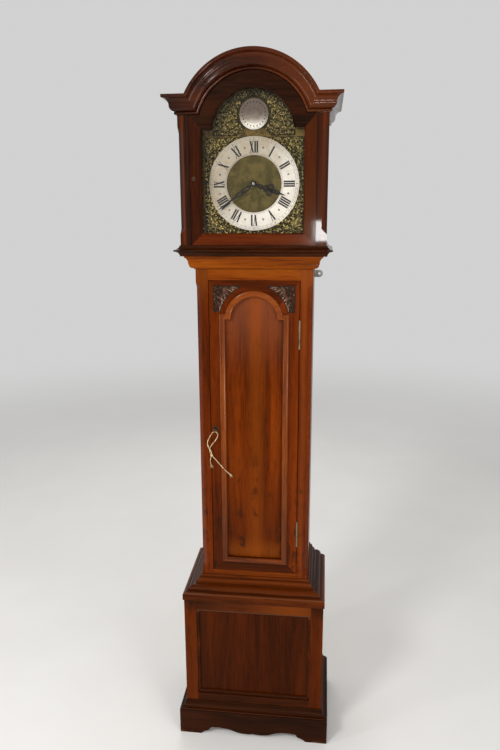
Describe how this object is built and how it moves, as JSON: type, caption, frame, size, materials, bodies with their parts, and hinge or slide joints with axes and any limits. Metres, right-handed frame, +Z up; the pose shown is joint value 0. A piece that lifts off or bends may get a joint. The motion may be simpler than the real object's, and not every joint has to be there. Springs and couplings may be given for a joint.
{
  "type": "tall case clock",
  "caption": "Tall case clock with a break-arch hood, arched brass dial, opening hood and trunk doors, seconds pendulum, chain-driven weights and toothed trains.",
  "frame": {"origin": "on the floor, under the middle of the case's bounding box", "axes": "+X to the right seen from the front, +Y from the dial to the wall, +Z up"},
  "size_m": [0.43, 0.277, 1.857],
  "materials": {
    "trunk_wood": "polished mahogany",
    "moulding_wood": "polished mahogany, orange brown",
    "panel_wood": "figured mahogany veneer, polished",
    "base_wood": "dark polished mahogany",
    "plinth_wood": "dark worn mahogany",
    "hood_wood": "glossy polished mahogany",
    "pine": "bare softwood, darkened",
    "brass": "aged polished brass",
    "silvered_brass": "silvered brass, worn",
    "blued_steel": "blued steel",
    "steel": "dull steel",
    "iron": "painted cast iron",
    "glass": "clear sheet glass",
    "cotton": "twisted cotton string"
  },
  "bodies": {
    "case": {"plinth": "plinth_wood", "plinth_moulding": "plinth_wood", "base_frame": "base_wood", "base_panel": "panel_wood", "base_carcass": "base_wood", "base_moulding": "moulding_wood", "trunk_front_frame": "trunk_wood", "trunk_sides": "trunk_wood", "throat_moulding": "moulding_wood", "backboard": "pine", "wall_plate": "steel", "seatboard": "pine", "movement_frame": "brass", "dial_plate": "brass", "chapter_ring": "silvered_brass", "dial_boss": "silvered_brass", "dial_spandrels": "brass", "rod_gong": "steel", "trunk_hinge_plates": "brass", "going_chain": "brass", "strike_chain": "brass", "chain_tails": "brass"},
    "hood": {"hood_frame": "hood_wood", "hood_sides": "hood_wood", "hood_roof": "hood_wood", "hood_base_moulding": "moulding_wood", "hood_cornice": "hood_wood", "dial_mask": "hood_wood"},
    "hood_door": {"hood_door_frame": "hood_wood", "hood_door_glass": "glass", "hood_door_fittings": "brass"},
    "trunk_door": {"trunk_door_frame": "trunk_wood", "trunk_door_panel": "panel_wood", "trunk_door_moulding": "moulding_wood", "trunk_door_carvings": "trunk_wood", "trunk_door_lock": "brass", "trunk_door_hinges": "brass", "string_loop": "cotton", "string_tail": "cotton", "string_knot": "cotton"},
    "lock_bolt": {"lock_bolt": "steel"},
    "trunk_key": {"trunk_key": "steel"},
    "minute_arbor": {"centre_wheel": "brass", "minute_hand": "blued_steel"},
    "hour_pipe": {"hour_wheel": "brass", "hour_hand": "blued_steel"},
    "minute_wheel": {"minute_wheel": "brass"},
    "going_great_wheel": {"going_great_wheel": "brass"},
    "third_wheel": {"third_wheel": "brass"},
    "escape_wheel": {"escape_wheel": "brass"},
    "pallets": {"pallets": "steel"},
    "pendulum": {"pendulum_rod": "steel", "pendulum_bob": "brass"},
    "going_weight": {"going_weight": "iron"},
    "strike_weight": {"strike_weight": "iron"},
    "hammer": {"hammer": "steel"},
    "strike_great_wheel": {"strike_great_wheel": "brass"},
    "pin_wheel": {"pin_wheel": "brass"},
    "warning_wheel": {"warning_wheel": "brass"},
    "fly": {"fly": "brass"}
  },
  "joints": [
    {"name": "hood_slide", "type": "slide", "parent": "case", "child": "hood", "axis": [0, -1, 0], "range_m": [0, 0.26]},
    {"name": "hood_door_hinge", "type": "hinge", "parent": "hood", "child": "hood_door", "pos_m": [0.1512, -0.097, 1.566], "axis": [0, 0, 1], "range_deg": [0, 100]},
    {"name": "trunk_door_hinge", "type": "hinge", "parent": "case", "child": "trunk_door", "pos_m": [0.1177, -0.076, 0.915], "axis": [0, 0, 1], "range_deg": [0, 110]},
    {"name": "trunk_key_turn", "type": "hinge", "parent": "trunk_door", "child": "trunk_key", "pos_m": [-0.105, -0.092, 0.928], "axis": [0, 1, 0], "range_deg": [0, 90], "deforming": ["string_loop"]},
    {"name": "lock_bolt_slide", "type": "slide", "parent": "trunk_door", "child": "lock_bolt", "axis": [-1, 0, 0], "range_m": [0, 0.009]},
    {"name": "third_wheel_turn", "type": "hinge", "parent": "case", "child": "third_wheel", "pos_m": [0.0162, 0, 1.5803], "axis": [0, 1, 0], "continuous": true},
    {"name": "minute_arbor_turn", "type": "hinge", "parent": "case", "child": "minute_arbor", "pos_m": [0, 0, 1.561], "axis": [0, 1, 0], "continuous": true},
    {"name": "hour_pipe_turn", "type": "hinge", "parent": "case", "child": "hour_pipe", "pos_m": [0, 0, 1.561], "axis": [0, 1, 0], "continuous": true},
    {"name": "minute_wheel_turn", "type": "hinge", "parent": "case", "child": "minute_wheel", "pos_m": [-0.01359, 0, 1.55466], "axis": [0, 1, 0], "continuous": true},
    {"name": "going_great_turn", "type": "hinge", "parent": "case", "child": "going_great_wheel", "pos_m": [0.033, 0, 1.54022], "axis": [0, 1, 0], "continuous": true},
    {"name": "escape_wheel_turn", "type": "hinge", "parent": "case", "child": "escape_wheel", "pos_m": [0, 0, 1.59534], "axis": [0, 1, 0], "continuous": true},
    {"name": "pendulum_swing", "type": "hinge", "parent": "case", "child": "pendulum", "pos_m": [0, 0, 1.621], "axis": [0, 1, 0], "range_deg": [-3, 3]},
    {"name": "pallets_rock", "type": "hinge", "parent": "case", "child": "pallets", "pos_m": [0, 0, 1.621], "axis": [0, 1, 0], "range_deg": [-3, 3]},
    {"name": "going_weight_rise", "type": "slide", "parent": "case", "child": "going_weight", "axis": [0, 0, 1], "range_m": [0, 0.4], "deforming": ["going_chain"]},
    {"name": "strike_weight_rise", "type": "slide", "parent": "case", "child": "strike_weight", "axis": [0, 0, 1], "range_m": [0, 0.4], "deforming": ["strike_chain"]},
    {"name": "hammer_lift", "type": "hinge", "parent": "case", "child": "hammer", "pos_m": [-0.062, 0, 1.556], "axis": [0, 1, 0], "range_deg": [0, 12], "stiffness_Nm_per_rad": 0.02, "springref_deg": -34.38},
    {"name": "warning_wheel_turn", "type": "hinge", "parent": "case", "child": "warning_wheel", "pos_m": [-0.03603, 0, 1.58297], "axis": [0, 1, 0], "continuous": true},
    {"name": "strike_great_turn", "type": "hinge", "parent": "case", "child": "strike_great_wheel", "pos_m": [-0.03398, 0, 1.53104], "axis": [0, 1, 0], "continuous": true},
    {"name": "pin_wheel_turn", "type": "hinge", "parent": "case", "child": "pin_wheel", "pos_m": [-0.03958, 0, 1.5628], "axis": [0, 1, 0], "continuous": true},
    {"name": "fly_turn", "type": "hinge", "parent": "case", "child": "fly", "pos_m": [-0.0334, 0, 1.59786], "axis": [0, 1, 0], "continuous": true}
  ],
  "couplings": [
    {"joint": "trunk_key_turn", "follows": "lock_bolt_slide", "rad_per_m": 174.5},
    {"joint": "minute_arbor_turn", "follows": "third_wheel_turn", "ratio": -0.125},
    {"joint": "hour_pipe_turn", "follows": "third_wheel_turn", "ratio": -0.010417},
    {"joint": "minute_wheel_turn", "follows": "third_wheel_turn", "ratio": 0.041667},
    {"joint": "going_great_turn", "follows": "third_wheel_turn", "ratio": 0.010417},
    {"joint": "escape_wheel_turn", "follows": "third_wheel_turn", "ratio": -7.5},
    {"joint": "pallets_rock", "follows": "pendulum_swing", "ratio": 1},
    {"joint": "strike_great_turn", "follows": "warning_wheel_turn", "ratio": 0.012821},
    {"joint": "pin_wheel_turn", "follows": "warning_wheel_turn", "ratio": -0.125},
    {"joint": "fly_turn", "follows": "warning_wheel_turn", "ratio": -6.8571}
  ]
}
